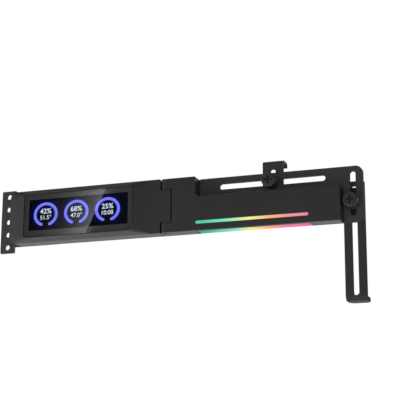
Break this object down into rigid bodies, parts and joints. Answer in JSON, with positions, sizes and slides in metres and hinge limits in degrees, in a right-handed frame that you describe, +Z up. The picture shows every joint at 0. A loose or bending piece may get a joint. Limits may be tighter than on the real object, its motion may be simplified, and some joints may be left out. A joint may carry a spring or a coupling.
{
  "type": "graphics card support bracket",
  "caption": "Long support bracket that bolts to a slot rail, with a gauge display, a hinged lit bar, a sliding top hook and a slotted leg with a foot for the card.",
  "frame": {"origin": "middle hole of the mount plate's row, on the plate's back face", "axes": "+X along the bar, away from the rail; +Y to the back, away from the display; +Z up"},
  "size_m": [0.2911, 0.0291, 0.1059],
  "materials": {
    "black_steel": "fine matt powder coat",
    "black_moulding": "fine matt texture",
    "dark_lens": "clear gloss, smoked",
    "lcd_glass": "gloss",
    "circuit_board": "solder mask",
    "bright_steel": "plain",
    "black_screw": "black oxide",
    "milky_diffuser": "satin, milky",
    "led_package": "moulded",
    "thumb_screw": "black, knurled",
    "black_washer": "black",
    "nut_steel": "black zinc"
  },
  "bodies": {
    "display": {"mount_plate": "black_steel", "front_housing": "black_moulding", "rear_housing": "black_moulding", "display_lens": "dark_lens", "lcd_panel": "lcd_glass", "control_board": "circuit_board", "lead_socket": "bright_steel", "housing_screws": "black_screw", "mount_plate_screws": "black_screw", "hinge_pin": "bright_steel"},
    "bar": {"base_plate": "black_steel", "bar_cover": "black_moulding", "front_diffuser": "milky_diffuser", "lower_diffuser": "milky_diffuser", "led_board": "circuit_board", "leds": "led_package", "cover_screws": "black_screw"},
    "clip_carriage": {"clip_nut": "nut_steel", "clip_washer": "black_washer"},
    "clip": {"clip_hook": "black_steel"},
    "clip_knob": {"clip_screw": "thumb_screw"},
    "leg_carriage": {"leg_nut": "nut_steel", "leg_washer": "black_washer"},
    "leg": {"support_leg": "black_steel"},
    "leg_knob": {"leg_screw": "thumb_screw"}
  },
  "joints": [
    {"name": "bar_hinge", "type": "hinge", "parent": "display", "child": "bar", "pos_m": [0.1374, -0.0108, 0], "axis": [0, 0, -1], "range_deg": [0, 90]},
    {"name": "clip_slide", "type": "slide", "parent": "bar", "child": "clip_carriage", "axis": [1, 0, 0], "range_m": [-0.0379, 0.0372]},
    {"name": "clip_height", "type": "slide", "parent": "clip_carriage", "child": "clip", "axis": [0, 0, 1], "range_m": [-0.0079, 0.0095]},
    {"name": "clip_turn", "type": "hinge", "parent": "clip_carriage", "child": "clip_knob", "pos_m": [0.2178, 0, 0.0134], "axis": [0, -1, 0], "continuous": true},
    {"name": "leg_slide", "type": "slide", "parent": "bar", "child": "leg_carriage", "axis": [0, 0, 1], "range_m": [-0.0071, 0.0202]},
    {"name": "leg_height", "type": "slide", "parent": "leg_carriage", "child": "leg", "axis": [0, 0, 1], "range_m": [-0.0016, 0.054]},
    {"name": "leg_turn", "type": "hinge", "parent": "leg_carriage", "child": "leg_knob", "pos_m": [0.2773, 0, -0.0061], "axis": [0, -1, 0], "continuous": true}
  ]
}
